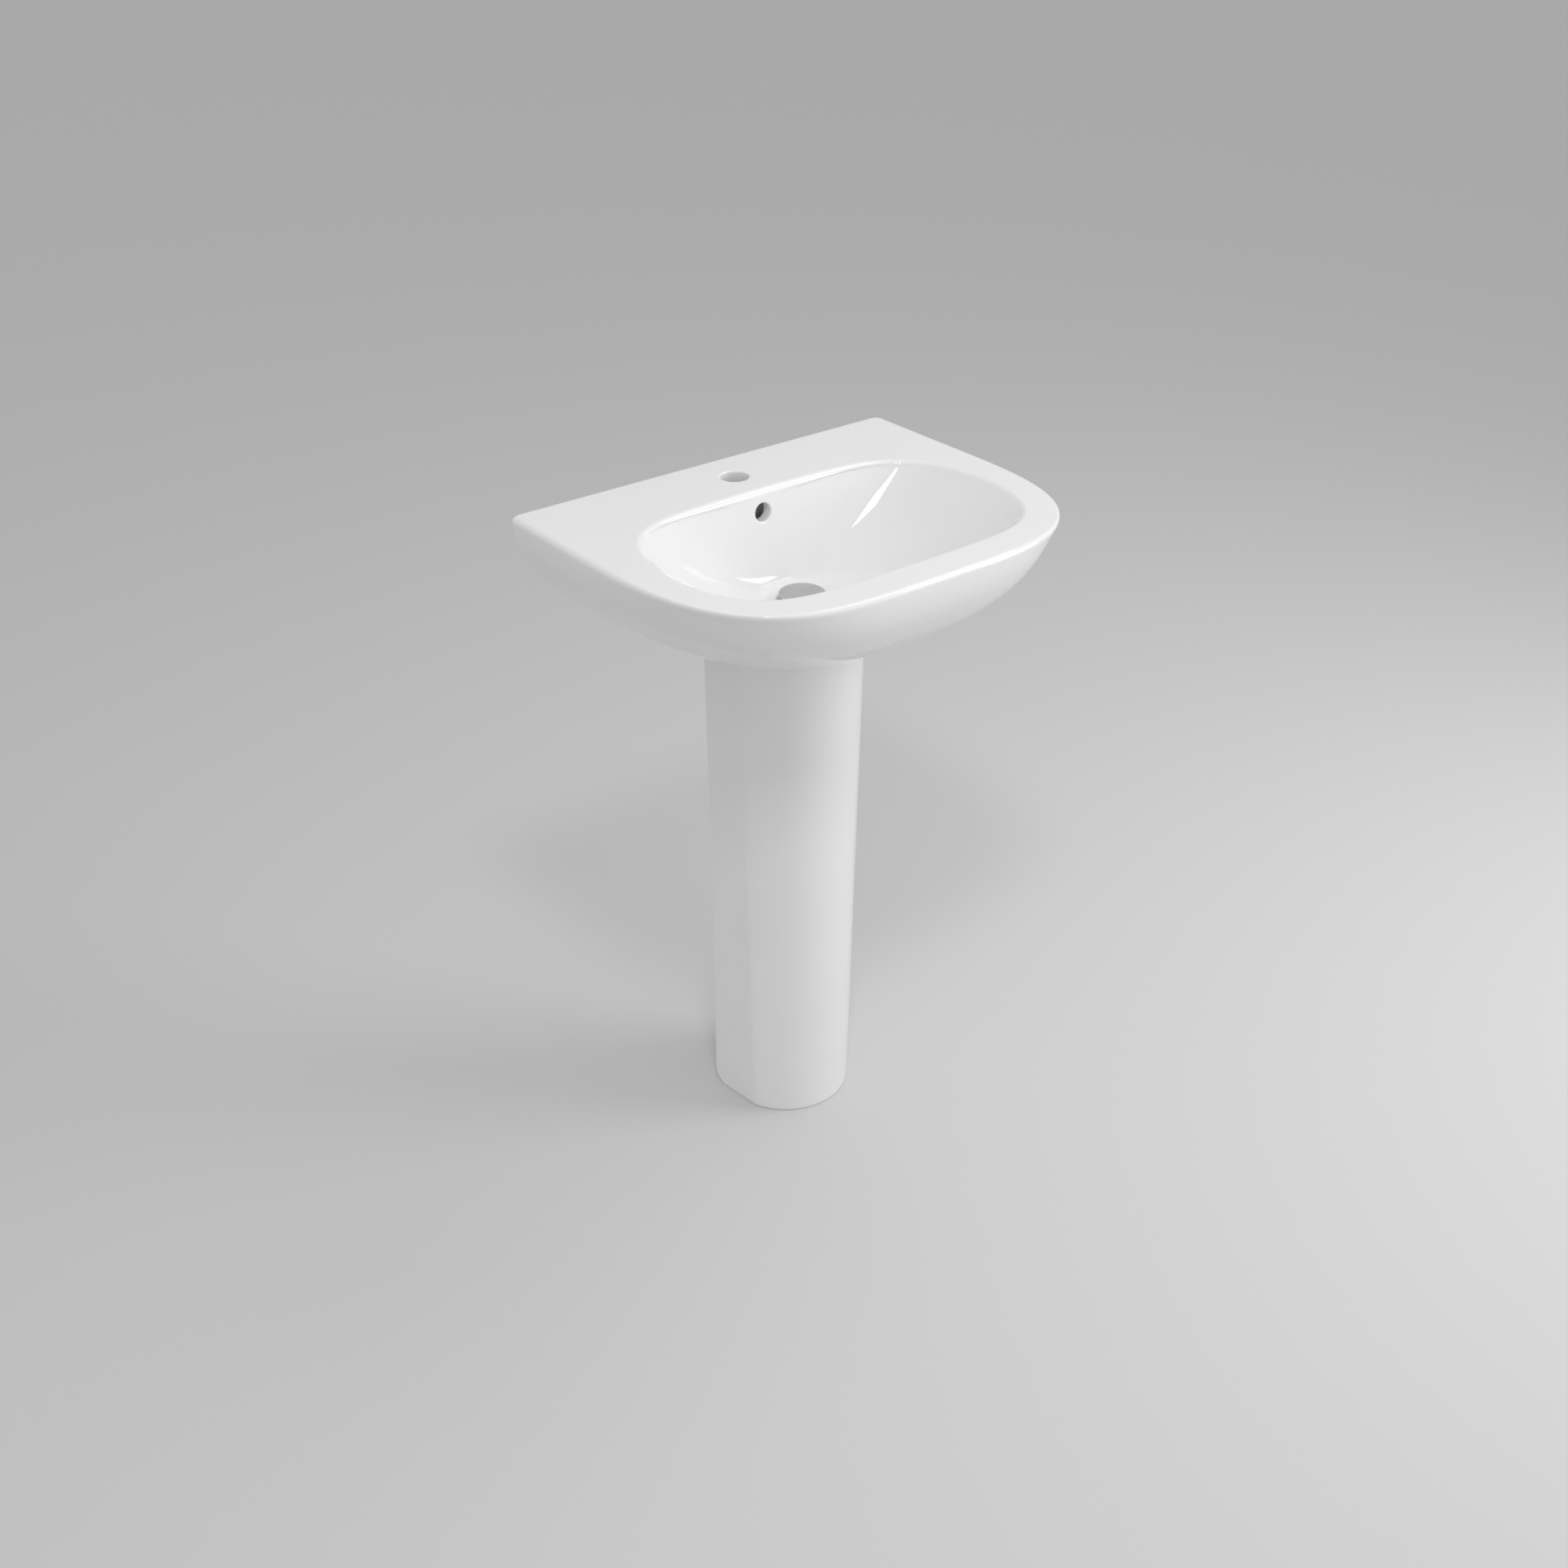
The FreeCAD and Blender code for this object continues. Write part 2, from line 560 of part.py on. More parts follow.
# ---------------------------------------------------------------- trap
def make_trap():
    """The bottle trap: union nut, telescopic inlet tube, body with side outlet, and removable cup."""
    pipe = D + "pipe_radius"
    inner = pipe + " - " + D + "pipe_wall"
    socket = D + "outlet_socket_radius"
    outlet = D + "outlet_height"
    wide = D + "trap_radius"
    dip = D + "dip_end - " + TAIL
    turned_body("trap_inlet_washer", [(socket, "-2.5"), ("20.4", "-2.5"), ("20.4", "0"), (socket, "0")], z=TAIL)
    turned_body("trap_inlet_tube", [
        (inner, dip), (pipe, dip), (pipe, "-5"), ("20.5", "-5"), ("20.5", "-2.5"), (inner, "-2.5")], z=TAIL)
    grip = D + "tail_radius + 0.1"
    turned_body("trap_inlet_nut", [
        (pipe + " + 0.4", "-10"), ("25.5", "-10"), ("27", "-8.5"), ("27", "15"), (grip, "15"), (grip, "-5"),
        (pipe + " + 0.4", "-5")], z=TAIL)
    turned_body("trap_tube_nut", [
        ("20.15", "22"), ("26", "22"), ("26", "42.5"), ("24.5", "44"), (pipe + " + 0.4", "44"),
        (pipe + " + 0.4", "40"), ("20.15", "40")], z=outlet)
    turned_body("trap_tube_washer", [(pipe + " + 0.05", "35"), ("19.8", "35"), ("18.6", "40"),
                                     (pipe + " + 0.05", "40")], z=outlet)
    shell = turned_body("trap_shell", [
        ("30.4", "-45"), ("33", "-45"), ("33", "-25.5"), (wide, "-25.5"), (wide, "-22"), ("34", "-20"), ("34", "14"),
        ("29", "20"), ("20", "20"), ("20", "35"), (socket, "35"), (socket, "17.6"), ("28", "17.6"), ("31.6", "13"),
        ("31.6", "-25"), ("30.4", "-26")], z=outlet)
    nodes.remove(shell)
    tools = []
    spans = [("spout", "18", "31.8", "72"), ("spout_thread", "20", "54", "72"),
             ("spout_bore", "14", "24", "60"), ("spout_socket", socket, "44", "73")]
    for name, radius, start, end in spans:
        bar = driven("Cylinder", name, Radius=radius, Height=end + " - " + start, y=AXIS_Y + " + " + start, z=outlet)
        bar.Placement.Rotation = FreeCAD.Rotation(Vector(1, 0, 0), -90)
        tools.append(bar)
    solid = joined("MultiFuse", "trap_with_spout", [shell] + tools[:2])
    drilled = joined("Cut", "trap_drilled", (solid, tools[2]))
    nodes.append(joined("Cut", "trap_body", (drilled, tools[3])))
    reach = AXIS_Y + " + 72"
    lying = FreeCAD.Rotation(Vector(1, 0, 0), -90)
    turned_body("trap_outlet_washer", [(socket, "0"), ("19.8", "0"), ("19.8", "4"), (socket, "4")],
                y=reach, z=outlet).Placement.Rotation = lying
    turned_body("trap_outlet_nut", [
        ("20.15", "-14"), ("26", "-14"), ("26", "6.5"), ("24.5", "8"), (socket, "8"), (socket, "4"),
        ("20.15", "4")], y=reach, z=outlet).Placement.Rotation = lying
    turned_body("trap_cup_seal", [("33.4", "-28"), ("35.8", "-28"), ("35.8", "-25.5"), ("33.4", "-25.5")], z=outlet)
    top = outlet + " - 28 - " + D + "cup_bottom"
    turned_body("trap_cup", [
        ("0", "0"), ("28", "0"), ("35", "5"), ("36", "9"), ("36", top + " - 17"), ("37.5", top + " - 15"),
        ("37.5", top), ("33.15", top), ("33.15", "9"), ("27", "4"), ("0", "4")], z=D + "cup_bottom")


# ---------------------------------------------------------------- build and export
ceramic("basin", make_basin())
ceramic("pedestal", make_pedestal())
make_pads()
make_waste()
make_waste_fixings()
make_plug()
make_trap()
doc.recompute()

for item in doc.Objects:
    if "Invalid" in item.State or "Error" in item.State:
        raise RuntimeError("%s did not recompute: %s" % (item.Name, item.State))
for node in nodes:
    if node.Shape.isNull() or not node.Shape.isValid():
        raise RuntimeError("%s has no valid shape" % node.Label)
for node in nodes:
    node.Shape.exportStep("parts/%s.step" % node.Label)
    box = node.Shape.BoundBox
    print("%-20s solids %d  volume %10.1f mm3  z %.1f to %.1f" % (
        node.Label, len(node.Shape.Solids), node.Shape.Volume, box.ZMin, box.ZMax))
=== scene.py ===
import json
import math

import bmesh
import bpy
import numpy as np
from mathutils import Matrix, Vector


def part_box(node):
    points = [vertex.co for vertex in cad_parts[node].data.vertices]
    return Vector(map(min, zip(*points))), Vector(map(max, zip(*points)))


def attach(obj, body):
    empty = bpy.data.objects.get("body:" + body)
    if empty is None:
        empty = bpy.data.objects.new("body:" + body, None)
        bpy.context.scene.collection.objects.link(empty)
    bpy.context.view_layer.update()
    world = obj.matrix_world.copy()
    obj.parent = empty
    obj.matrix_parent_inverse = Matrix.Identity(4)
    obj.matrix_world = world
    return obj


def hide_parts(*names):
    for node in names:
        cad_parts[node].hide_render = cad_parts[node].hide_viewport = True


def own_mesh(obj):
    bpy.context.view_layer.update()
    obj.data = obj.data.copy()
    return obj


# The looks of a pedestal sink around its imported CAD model. Metres, +Z up, +Y to the wall.
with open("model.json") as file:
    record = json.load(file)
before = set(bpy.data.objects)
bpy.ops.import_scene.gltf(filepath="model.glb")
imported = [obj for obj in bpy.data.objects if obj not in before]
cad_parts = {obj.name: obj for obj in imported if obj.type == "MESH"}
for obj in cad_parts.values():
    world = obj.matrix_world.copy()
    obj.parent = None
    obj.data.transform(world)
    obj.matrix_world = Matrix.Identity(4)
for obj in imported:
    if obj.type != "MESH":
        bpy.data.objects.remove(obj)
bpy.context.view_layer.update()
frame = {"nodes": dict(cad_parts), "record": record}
MM = 0.001

# ---------------------------------------------------------------- sizes read from the frame
BASIN_LOW, BASIN_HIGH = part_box("basin")
DECK_Z = BASIN_HIGH.z
SEAT_Z = BASIN_LOW.z
WALL_Y = BASIN_HIGH.y
NOSE_Y = BASIN_LOW.y
HALF_WIDTH = BASIN_HIGH.x
FLANGE_LOW, FLANGE_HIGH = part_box("waste_flange")
CAP_LOW, CAP_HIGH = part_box("plug_cap")
AXIS_Y = (CAP_LOW.y + CAP_HIGH.y) / 2
FOOT_LOW, FOOT_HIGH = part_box("pedestal")
MOUNTS = {mount["name"]: mount for mount in frame["record"]["mounts"]}
SLOT_OF = {part["node"]: part["material_slot"] for part in frame["record"]["subparts"]}
TAP_Y = MOUNTS["tap_hole"]["pos_m"][1]
TAP_RADIUS = MOUNTS["tap_hole"]["dims"]["r_mm"] * MM

# ---------------------------------------------------------------- the castings' own shape
REACH = WALL_Y - NOSE_Y
PROFILE_DEPTH = 0.175
EDGE_ROUND = 0.007
BACK_EDGE_ROUND = 0.0035
BACK_CORNER = 0.008
SEAT_ROUND = 0.005
BOWL_DEPTH = 0.116
BOWL_FLOOR_RADIUS = 0.035
BOWL_HALF_WIDTH = 0.236
BOWL_BACK_GAP = 0.110
BOWL_FRONT_GAP = 0.045
RIM_ROUND = 0.009
RIM_EDGE = 0.004
SIDE_POWER = 1.8
BACK_POWER = 5.0
FRONT_POWER = 2.0
OVERFLOW_DEPTH = 0.0285
OVERFLOW_RADIUS = 0.0115
QUARTER_STEPS = 24
BOWL_POINTS = 8 * QUARTER_STEPS
SHARP_ANGLE = math.radians(38)
FLOOR_Z = DECK_Z - BOWL_DEPTH
BOWL_BACK_Y = WALL_Y - BOWL_BACK_GAP

# how the outside draws in with depth: by how much, and the power it follows
SIDE_DRAW, SIDE_DRAW_POWER = 0.1765, 2.5
FRONT_DRAW, FRONT_DRAW_POWER = 0.240, 2.59
STRAIGHT_SIDE, STRAIGHT_SIDE_DRAW = 0.187, 0.157
NOSE_ACROSS, NOSE_ACROSS_DRAW = 4.14, 1.29
NOSE_ALONG, NOSE_ALONG_DRAW = 2.82, 1.02
NOSE_DRAW_POWER = 0.53

# the hollow under the deck, its openings, and the solid ground round the waste and the channel
SKIN = 0.009
WALL_STRIP = 0.012
DECK_THICKNESS = 0.015
SEAT_THICKNESS = 0.012
SHAFT_HALF = 0.072
SHAFT_REACH = 0.236
SERVICE_HALF = 0.135
SERVICE_REACH = 0.096
ARCH_DROP = 0.110
BOSS_RADIUS = 0.037
BOSS_HEIGHT = 0.030
WASTE_HOLE = 0.023
WASTE_RECESS = 0.0305
RECESS_DEPTH = 0.0069
CHANNEL_HALF = 0.012
CHANNEL_GAP = 0.008
CHANNEL_DEPTH = 0.008
CHANNEL_TOP = 0.0185
CHANNEL_DROP = 0.022
CHANNEL_FOOT_HEIGHT = 0.011
CHANNEL_BODY_HALF = 0.020
CHANNEL_BODY_DROP = 0.026
CHANNEL_BODY_BACK = 0.024
CHANNEL_BODY_FRONT = 0.03
CUTTER_OUT = 0.002
CUTTER_IN = 0.001

# the pedestal: its plan at the foot, and what is added to it on the way up to the head
TOP_Z = FOOT_HIGH.z
PEDESTAL_BACK = FOOT_HIGH.y
PEDESTAL_WALL = 0.011
LIP = 0.015
FOOT_HALF, HEAD_WIDENING, WIDENING_POWER = 0.085, 0.005, 2.6
ARRIS_HALF, ARRIS_WIDENING = 0.0785, 0.0115
ARRIS_GAP, ARRIS_BACKWARD = 0.1917, 0.0087
NOSE_GAP, NOSE_FORWARD, NOSE_FORWARD_POWER = 0.244, 0.014, 0.85


# ---------------------------------------------------------------- mesh helpers
def quarter(n, m, steps=QUARTER_STEPS):
    """Points of |x|^n + |y|^m = 1 from (1, 0) to (0, 1), evenly spread along it."""
    side = 0.5 ** (1 / m) * np.arange(steps) / steps
    front = 0.5 ** (1 / n) * np.arange(steps, -1, -1) / steps
    x = np.concatenate([(1 - side ** m) ** (1 / n), front])
    y = np.concatenate([side, (1 - front ** n) ** (1 / m)])
    return x, y


def add_rings(mesh, rings):
    """Adds rings of points joined by quads, and returns the rings of vertices."""
    loops = [[mesh.verts.new(point) for point in ring] for ring in rings]
    bridge_loops(mesh, loops)
    return loops


def bridge_loops(mesh, loops):
    """Joins each closed loop of vertices to the next one by quads."""
    for inner, outer in zip(loops[:-1], loops[1:]):
        count = len(inner)
        for k in range(count):
            after = (k + 1) % count
            mesh.faces.new((inner[k], inner[after], outer[after], outer[k]))


def edges_of(mesh, loop):
    """The edges round a closed loop of vertices, made where they don't exist."""
    found = []
    for k, here in enumerate(loop):
        there = loop[(k + 1) % len(loop)]
        found.append(mesh.edges.get((here, there)) or mesh.edges.new((here, there)))
    return found


def fill_flat(mesh, loops):
    """Fills the flat ground between an outer loop and the loops of its holes."""
    edges = [edge for loop in loops for edge in edges_of(mesh, loop)]
    bmesh.ops.triangle_fill(mesh, use_beauty=True, use_dissolve=False, edges=edges)


def shade(data):
    """Smooth shading, with the real edges kept sharp."""
    data.shade_smooth()
    data.set_sharp_from_angle(angle=SHARP_ANGLE)


def finish_mesh(name, mesh, smooth=True):
    """Turns a bmesh into an object with its normals outwards."""
    bmesh.ops.recalc_face_normals(mesh, faces=mesh.faces)
    data = bpy.data.meshes.new(name)
    mesh.to_mesh(data)
    mesh.free()
    piece = bpy.data.objects.new(name, data)
    bpy.context.scene.collection.objects.link(piece)
    if smooth:
        shade(data)
    return piece


def circle(radius, centre, count=64):
    """A flat ring of points about a vertical axis through centre."""
    turn = 2 * math.pi * np.arange(count) / count
    x = centre[0] + radius * np.cos(turn)
    y = centre[1] + radius * np.sin(turn)
    return np.column_stack([x, y, np.full(count, centre[2])])


# ---------------------------------------------------------------- basin
def hull_numbers(depth):
    """Half width, reach from the wall, length of the straight side and the nose's two powers, at a depth."""
    t = depth / PROFILE_DEPTH
    draw = t ** NOSE_DRAW_POWER
    half = HALF_WIDTH - SIDE_DRAW * t ** SIDE_DRAW_POWER
    reach = REACH - FRONT_DRAW * t ** FRONT_DRAW_POWER
    side_end = STRAIGHT_SIDE - STRAIGHT_SIDE_DRAW * draw
    return half, reach, side_end, NOSE_ACROSS - NOSE_ACROSS_DRAW * draw, NOSE_ALONG - NOSE_ALONG_DRAW * draw


def hull_ring(depth, inset=0.0, back_inset=0.0, lift=0.0):
    """The basin's outside at a depth: nose, right side, back and left side, as one closed ring."""
    half, reach, side_end, n, m = hull_numbers(max(depth, 0.0))
    half -= inset
    start = WALL_Y - side_end
    bow = reach - inset - side_end
    back = WALL_Y - back_inset
    u, v = quarter(n, m)
    nose_x = np.concatenate([-half * u, half * u[-2::-1]])
    nose_y = np.concatenate([start - bow * v, start - bow * v[-2::-1]])
    corner = BACK_CORNER
    rise = np.linspace(0, 1, 19)[1:]
    side = start + (back - corner - start) * rise
    turn = np.linspace(0, math.pi / 2, 7)[1:]
    arc_x = half - corner + corner * np.cos(turn)
    arc_y = back - corner + corner * np.sin(turn)
    across = np.linspace(half - corner, -(half - corner), 41)[1:]
    side_x = np.full(len(side), half)
    across_y = np.full(len(across), back)
    x = np.concatenate([nose_x, side_x, arc_x, across, -arc_x[-2::-1], [-half], -side_x[1:]])
    y = np.concatenate([nose_y, side, arc_y, across_y, arc_y[-2::-1], [back - corner], side[-2::-1]])
    return np.column_stack([x, y, np.full(len(x), DECK_Z - depth + lift)])


def hull_rings():
    """From the deck's edge, over the rounded edge and down the outside to the seat."""
    rings = []
    for turn in np.linspace(0, math.pi / 2, 7):
        depth = EDGE_ROUND * (1 - math.cos(turn))
        back = min(1.0, depth / BACK_EDGE_ROUND)
        back_inset = BACK_EDGE_ROUND * (1 - math.sqrt(1 - (1 - back) ** 2))
        rings.append(hull_ring(depth, EDGE_ROUND * (1 - math.sin(turn)), back_inset))
    seat_depth = DECK_Z - SEAT_Z
    for depth in np.linspace(EDGE_ROUND, seat_depth - SEAT_ROUND, 44)[1:]:
        rings.append(hull_ring(depth))
    rings.append(hull_ring(seat_depth - 0.45 * SEAT_ROUND, 0.0012, 0.0003))
    rings.append(hull_ring(seat_depth - 0.1 * SEAT_ROUND, 0.0035, 0.0014))
    rings.append(hull_ring(seat_depth, 0.0065, 0.0030))
    rings.append(hull_ring(seat_depth, 0.0085, 0.0045))
    return rings


def bowl_numbers(depth):
    """Half width, reach to the back and to the front, and the outline's power, at each depth."""
    left_over = np.clip(1 - depth / BOWL_DEPTH, 0, 1)
    floor = BOWL_FLOOR_RADIUS
    to_back = BOWL_BACK_Y - AXIS_Y - RIM_EDGE
    to_front = AXIS_Y - NOSE_Y - BOWL_FRONT_GAP - RIM_EDGE
    half = floor + (BOWL_HALF_WIDTH - RIM_EDGE - floor) * left_over ** (1 / SIDE_POWER)
    back = floor + (to_back - floor) * left_over ** (1 / BACK_POWER)
    front = floor + (to_front - floor) * left_over ** (1 / FRONT_POWER)
    return half, back, front, 2 + 3.5 * left_over ** 0.8


def bowl_point(k, depth):
    """Point k of the bowl's outline at a depth below the deck. The ring starts at the right, then the back."""
    half, back, front, n = bowl_numbers(depth)
    u, v = quarter(float(n), 2.0)
    last = len(u) - 1
    lap, step = divmod(k, last)
    index = step if lap % 2 == 0 else last - step
    x = u[index] if lap in (0, 3) else -u[index]
    y = v[index] if lap in (0, 1) else -v[index]
    middle = AXIS_Y + (back - front) / 2
    return np.array([half * x, middle + (back + front) / 2 * y, DECK_Z - depth])


def bowl_outward(k, depth):
    """The level direction away from the bowl at point k of its outline."""
    ahead = bowl_point((k + 1) % BOWL_POINTS, depth) - bowl_point((k - 1) % BOWL_POINTS, depth)
    out = np.array([ahead[1], -ahead[0], 0.0])
    return out / np.linalg.norm(out)


def bowl_rings():
    """From the deck, over the rounded rim and down the bowl's wall to its floor."""
    first_drop = 0.004
    columns = []
    for k in range(BOWL_POINTS):
        top = bowl_point(k, 0.0)
        step = bowl_point(k, first_drop) - top
        slope = math.atan2(first_drop, math.hypot(step[0], step[1]))
        out = bowl_outward(k, 0.0)
        tangent = RIM_ROUND * math.tan(slope / 2)
        column = [top + out * (tangent + 0.003), top + out * tangent]
        for turn in np.linspace(0, slope, 9)[1:]:
            offset = tangent - RIM_ROUND * math.sin(turn)
            column.append(top + out * offset - np.array([0, 0, RIM_ROUND * (1 - math.cos(turn))]))
        start = RIM_ROUND * (1 - math.cos(slope))
        for share in np.linspace(0, 1, 45)[1:]:
            bend = 0.5 - 0.5 * math.cos(math.pi * share) if share > 0.5 else share
            bend = share * 0.5 + bend * 0.5
            column.append(bowl_point(k, start + (BOWL_DEPTH - start) * bend))
        columns.append(column)
    return [[column[j] for column in columns] for j in range(len(columns[0]))]


def tap_rings():
    """The deck's tap hole, with its glazed edge rounded over."""
    rings = []
    soft = 0.0022
    blind_depth = 0.018
    rings.append(circle(TAP_RADIUS + soft + 0.0015, (0.0, TAP_Y, DECK_Z)))
    for turn in np.linspace(0, math.pi / 2, 6):
        radius = TAP_RADIUS + soft * (1 - math.sin(turn))
        rings.append(circle(radius, (0.0, TAP_Y, DECK_Z - soft * (1 - math.cos(turn)))))
    rings.append(circle(TAP_RADIUS, (0.0, TAP_Y, DECK_Z - blind_depth)))
    return rings


def closed_rings(name, rings):
    """A closed solid from a stack of rings, as an object that other pieces are cut with."""
    mesh = bmesh.new()
    loops = add_rings(mesh, rings)
    mesh.faces.new(loops[0])
    mesh.faces.new(loops[-1])
    return finish_mesh(name, mesh, smooth=False)


def block(name, low, high, soft=0.0):
    """A solid between two corners, with its edges rounded by soft."""
    mesh = bmesh.new()
    bmesh.ops.create_cube(mesh, size=1.0)
    low, high = Vector(low), Vector(high)
    for vert in mesh.verts:
        vert.co = Vector([low[a] + (vert.co[a] + 0.5) * (high[a] - low[a]) for a in range(3)])
    if soft:
        bmesh.ops.bevel(mesh, geom=mesh.edges[:], offset=soft, segments=3, profile=0.5, affect="EDGES")
    return finish_mesh(name, mesh, smooth=False)


def lathe_cutter(name, profile, base, axis, count=64):
    """A closed turned solid along an axis: (radius, distance) pairs from its mouth to its end."""
    axis = Vector(axis).normalized()
    side = axis.orthogonal().normalized()
    other = axis.cross(side)
    turns = [2 * math.pi * k / count for k in range(count)]
    spokes = [side * math.cos(t) + other * math.sin(t) for t in turns]
    rings = [[Vector(base) + axis * along + spoke * radius for spoke in spokes] for radius, along in profile]
    return closed_rings(name, rings)


def carve(piece, tool, operation="DIFFERENCE", finish=None):
    """Cuts a tool out of a piece, or joins it on, and removes the tool. The cut faces take the finish."""
    if finish or piece.data.materials:
        tool.data.materials.clear()
        tool.data.materials.append(finish or piece.data.materials[0])
    change = piece.modifiers.new("carve", "BOOLEAN")
    change.material_mode = "TRANSFER"
    change.operation = operation
    change.solver = "EXACT"
    change.object = tool
    graph = bpy.context.evaluated_depsgraph_get()
    made = bpy.data.meshes.new_from_object(piece.evaluated_get(graph))
    piece.modifiers.clear()
    before = piece.data
    piece.data = made
    bpy.data.meshes.remove(before)
    used = tool.data
    bpy.data.objects.remove(tool)
    bpy.data.meshes.remove(used)


def bowl_back_y(x, z):
    """Where the bowl's back wall stands at a place across it and a height."""
    half, back, front, n = bowl_numbers(DECK_Z - z)
    middle = AXIS_Y + (back - front) / 2
    return middle + (back + front) / 2 * math.sqrt(max(0.0, 1 - abs(x / half) ** n))


def overflow_cutter():
    """The overflow's hole: square to the wall, with a rounded mouth."""
    z = DECK_Z - OVERFLOW_DEPTH
    y = bowl_back_y(0.0, z)
    lean = (bowl_back_y(0.0, z + 0.004) - bowl_back_y(0.0, z - 0.004)) / 0.008
    axis = (0.0, 1.0, -lean)
    soft = 0.0022
    profile = [(OVERFLOW_RADIUS + soft, -0.004), (OVERFLOW_RADIUS + soft, 0.0)]
    for turn in np.linspace(0, math.pi / 2, 7)[1:]:
        profile.append((OVERFLOW_RADIUS + soft * (1 - math.sin(turn)), soft * (1 - math.cos(turn))))
    profile.append((OVERFLOW_RADIUS, 0.018))
    return lathe_cutter("overflow_cutter", profile, (0.0, y, z), axis)


def boss_tool(name):
    """The round boss under the bowl's floor, which the waste goes through."""
    profile = [(BOSS_RADIUS, 0.0), (BOSS_RADIUS, BOSS_HEIGHT)]
    return lathe_cutter(name, profile, (0, AXIS_Y, FLOOR_Z - BOSS_HEIGHT), (0, 0, 1))


def foot_tool(name):
    """The solid ground round the channel's foot, from the waste to behind the bowl."""
    low = (-CHANNEL_BODY_HALF, AXIS_Y, FLOOR_Z - CHANNEL_BODY_DROP)
    return block(name, low, (CHANNEL_BODY_HALF, BOWL_BACK_Y + CHANNEL_BODY_BACK, FLOOR_Z))


def underside_cutter():
    """The hollow between the outside and the bowl, less the bowl's own wall, its boss and the channel."""
    last = DECK_Z - SEAT_Z - SEAT_THICKNESS
    depths = np.linspace(DECK_THICKNESS, last, 16)
    rings = [hull_ring(depth + SKIN, SKIN, WALL_STRIP, lift=SKIN) for depth in depths]
    hollow = closed_rings("hollow_cutter", rings)
    down = np.array([0, 0, SKIN])
    lined = []
    for depth in np.linspace(0, BOWL_DEPTH, 26):
        lined.append([bowl_point(k, depth) + bowl_outward(k, depth) * SKIN - down for k in range(BOWL_POINTS)])
    carve(hollow, closed_rings("lining_cutter", lined))
    low = (-CHANNEL_BODY_HALF, BOWL_BACK_Y - CHANNEL_BODY_FRONT, FLOOR_Z - CHANNEL_BODY_DROP)
    high = (CHANNEL_BODY_HALF, BOWL_BACK_Y + CHANNEL_BODY_BACK, DECK_Z)
    carve(hollow, block("channel_cutter", low, high))
    carve(hollow, foot_tool("foot_cutter"))
    carve(hollow, boss_tool("boss_cutter"))
    return hollow


def arch_cutter():
    """The round-headed opening through the strip against the wall."""
    mesh = bmesh.new()
    top = DECK_Z - ARCH_DROP
    plan = [(SHAFT_HALF, SEAT_Z - CUTTER_OUT)]
    plan += [(SHAFT_HALF * math.cos(t), top + SHAFT_HALF * math.sin(t)) for t in np.linspace(0, math.pi, 34)]
    plan.append((-SHAFT_HALF, SEAT_Z - CUTTER_OUT))
    ends = (WALL_Y - WALL_STRIP - 0.003, WALL_Y + CUTTER_OUT)
    loops = [[mesh.verts.new((x, y, z)) for x, z in plan] for y in ends]
    bridge_loops(mesh, loops)
    for loop in loops:
        mesh.faces.new(loop)
    return finish_mesh("arch_cutter", mesh, smooth=False)


def deck_support_ring(mesh, loop):
    """A support ring on the deck, 3 mm inside its edge, so that the flat stays flat up to the rounding."""
    inset = hull_ring(0.0, EDGE_ROUND + 0.003, BACK_EDGE_ROUND + 0.003)
    ring = [mesh.verts.new(point) for point in inset]
    bridge_loops(mesh, [ring, loop])
    return ring


